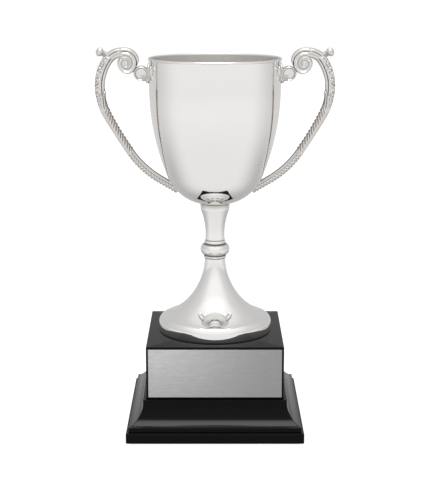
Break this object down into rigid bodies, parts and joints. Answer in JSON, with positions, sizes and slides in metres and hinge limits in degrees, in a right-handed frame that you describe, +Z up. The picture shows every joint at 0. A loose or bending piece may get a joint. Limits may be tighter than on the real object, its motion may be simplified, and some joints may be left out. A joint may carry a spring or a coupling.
{
  "type": "cup trophy",
  "caption": "Two-handled presentation cup on a turned stem and spun foot, clamped by a rod to a square gloss black plinth with a blank name plate.",
  "frame": {"origin": "middle of the underside of the plinth", "axes": "+Z up the trophy's axis, -Y out of the name plate, X along the two handles"},
  "size_m": [0.1822, 0.134, 0.2922],
  "materials": {
    "silver_plate": "bright polished nickel-silver plate",
    "steel": "zinc-plated steel",
    "nylon": "natural nylon",
    "black_lacquer": "high gloss black lacquer on wood",
    "bare_wood": "sawn, unfinished",
    "satin_aluminium": "satin brushed",
    "tape": "double-sided adhesive film",
    "baize": "green baize",
    "felt": "thin black felt"
  },
  "bodies": {
    "root": {"bowl": "silver_plate", "stem": "silver_plate", "stem_collar": "silver_plate", "knop": "silver_plate", "foot_collar": "silver_plate", "foot": "silver_plate", "left_handle": "silver_plate", "right_handle": "silver_plate", "tie_rod": "steel", "base_nut": "steel", "base_washer": "steel", "bowl_cap_nut": "steel", "bowl_washer": "steel", "handle_screws": "steel", "slab_screws": "steel", "handle_washers": "nylon", "base_slab": "black_lacquer", "top_board": "black_lacquer", "front_board": "black_lacquer", "back_board": "black_lacquer", "left_board": "black_lacquer", "right_board": "black_lacquer", "front_moulding": "black_lacquer", "back_moulding": "black_lacquer", "left_moulding": "black_lacquer", "right_moulding": "black_lacquer", "corner_block_1": "bare_wood", "corner_block_2": "bare_wood", "corner_block_3": "bare_wood", "corner_block_4": "bare_wood", "name_plate": "satin_aluminium", "name_plate_tape": "tape", "baize_pad": "baize", "foot_pad": "felt"}
  },
  "joints": []
}
